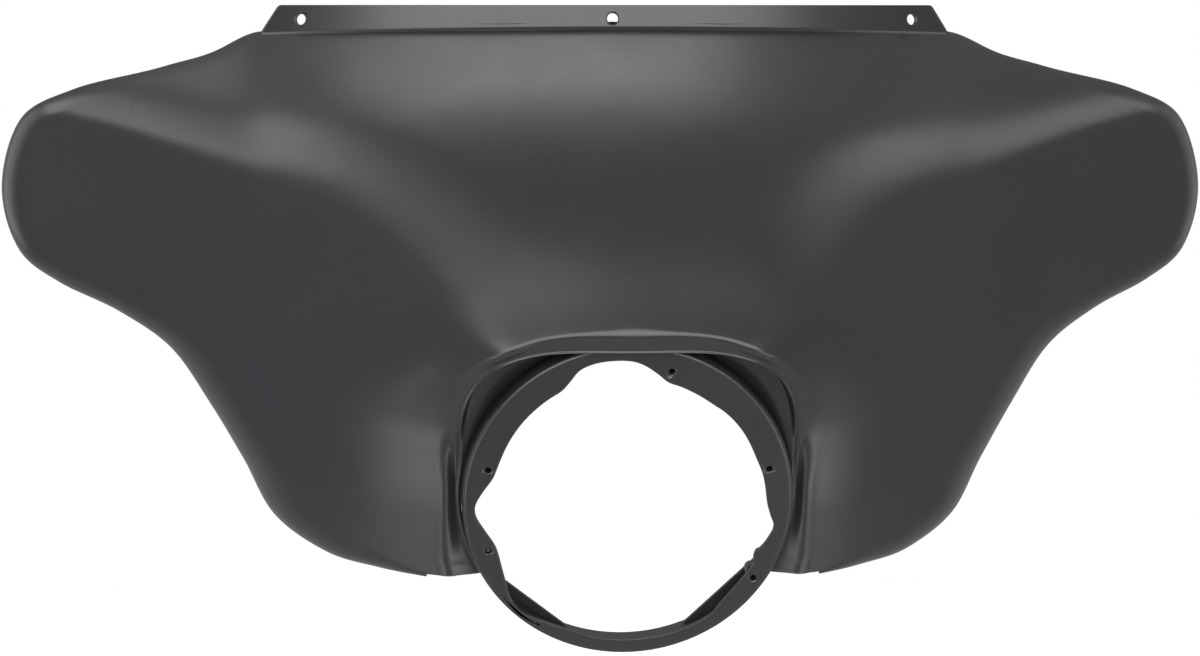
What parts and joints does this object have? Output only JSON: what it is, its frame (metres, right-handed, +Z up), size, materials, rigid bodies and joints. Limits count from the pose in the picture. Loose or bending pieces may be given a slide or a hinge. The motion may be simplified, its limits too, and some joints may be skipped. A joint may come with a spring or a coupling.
{
  "type": "motorcycle fairing",
  "caption": "Black moulded front fairing of a touring motorcycle: a hood over a round headlight opening, swept wings to both sides and a drilled flange for a windscreen",
  "frame": {"origin": "centre of the headlight opening, on the front face of its plate", "axes": "X across the motorcycle to the right as seen from the front, Y to the rear, Z up"},
  "size_m": [0.87, 0.3147, 0.3912],
  "materials": {
    "shell": "satin"
  },
  "bodies": {
    "root": {"fairing_shell": "shell"}
  },
  "joints": []
}
